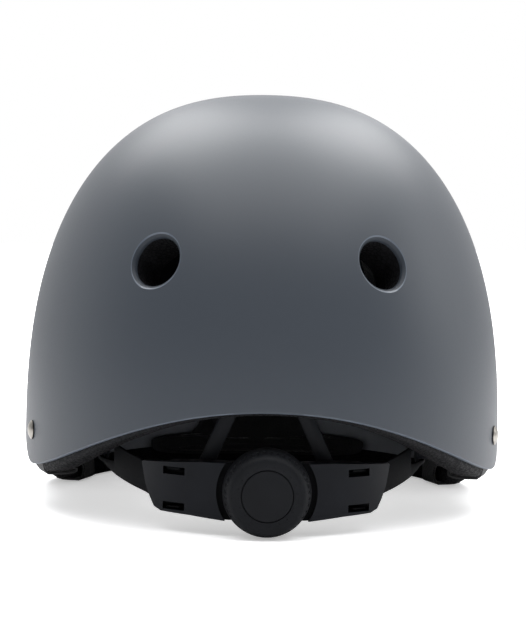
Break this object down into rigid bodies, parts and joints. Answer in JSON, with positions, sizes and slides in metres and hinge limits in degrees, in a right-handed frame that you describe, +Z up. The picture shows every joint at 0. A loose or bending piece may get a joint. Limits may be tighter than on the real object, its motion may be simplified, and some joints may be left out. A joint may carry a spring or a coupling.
{
  "type": "bicycle helmet",
  "caption": "Round hard-shell helmet with a foam liner, round vents, tucked webbing with a side-release buckle, comfort pads and a dial-tightened nape cradle.",
  "frame": {"origin": "middle of the box round the whole helmet, at the level of the surface that the temple edges of the foam and shell stand on", "axes": "+Z up through the crown, -Y forwards past the brow, +Y backwards along the fit dial's axis, +X to the wearer's left"},
  "size_m": [0.21, 0.2614, 0.1786],
  "materials": {
    "shell": "satin, faint sheen",
    "foam": "beaded foam, matte",
    "steel": "satin",
    "webbing": "woven",
    "pad": "brushed knit",
    "hook": "hook tape",
    "pinion": "moulded",
    "dial": "soft grip",
    "cap": "satin",
    "plastic": "moulded satin"
  },
  "bodies": {
    "helmet": {"outer_shell": "shell", "foam_liner": "foam", "rivet_rear_left": "steel", "rivet_rear_right": "steel", "rivet_front_left": "steel", "rivet_front_right": "steel", "strap_washers": "steel", "strap_rear_left": "webbing", "strap_rear_right": "webbing", "strap_front_left": "webbing", "strap_front_right": "webbing", "divider_left": "plastic", "divider_right": "plastic", "chin_strap_left": "webbing", "chin_strap_right": "webbing", "buckle_female": "plastic", "strap_keeper": "plastic", "brow_pad": "pad", "crown_pad_front": "pad", "crown_pad_rear": "pad", "side_pad_left": "pad", "side_pad_right": "pad", "rear_pad_left": "pad", "rear_pad_right": "pad", "hook_patches": "hook", "cradle_cover": "plastic", "cradle_base": "plastic", "nape_pad": "pad", "hanger": "plastic", "hanger_plug": "plastic", "band_anchor_left": "plastic", "band_anchor_right": "plastic"},
    "band_left": {"band_left": "plastic"},
    "band_right": {"band_right": "plastic"},
    "dial": {"drive_pinion": "pinion", "dial_knob": "dial", "dial_cap": "cap", "dial_screw": "steel", "click_spring": "steel"},
    "buckle_tongue": {"buckle_male": "plastic"}
  },
  "joints": [
    {"name": "dial_turn", "type": "hinge", "parent": "helmet", "child": "dial", "pos_m": [0, 0.04391, 0.0174], "axis": [0, 1, 0], "range_deg": [-60, 220]},
    {"name": "band_left_turn", "type": "hinge", "parent": "helmet", "child": "band_left", "pos_m": [0, 0.04391, 0.0174], "axis": [0, 0, 1], "range_deg": [-12.71, 3.54]},
    {"name": "band_right_turn", "type": "hinge", "parent": "helmet", "child": "band_right", "pos_m": [0, 0.04391, 0.0174], "axis": [0, 0, 1], "range_deg": [-3.62, 13.02]},
    {"name": "buckle_slide", "type": "slide", "parent": "helmet", "child": "buckle_tongue", "axis": [-1, 0, 0], "range_m": [0, 0.018]}
  ],
  "couplings": [
    {"joint": "band_left_turn", "follows": "dial_turn", "ratio": -0.057307},
    {"joint": "band_right_turn", "follows": "dial_turn", "ratio": 0.058737}
  ]
}
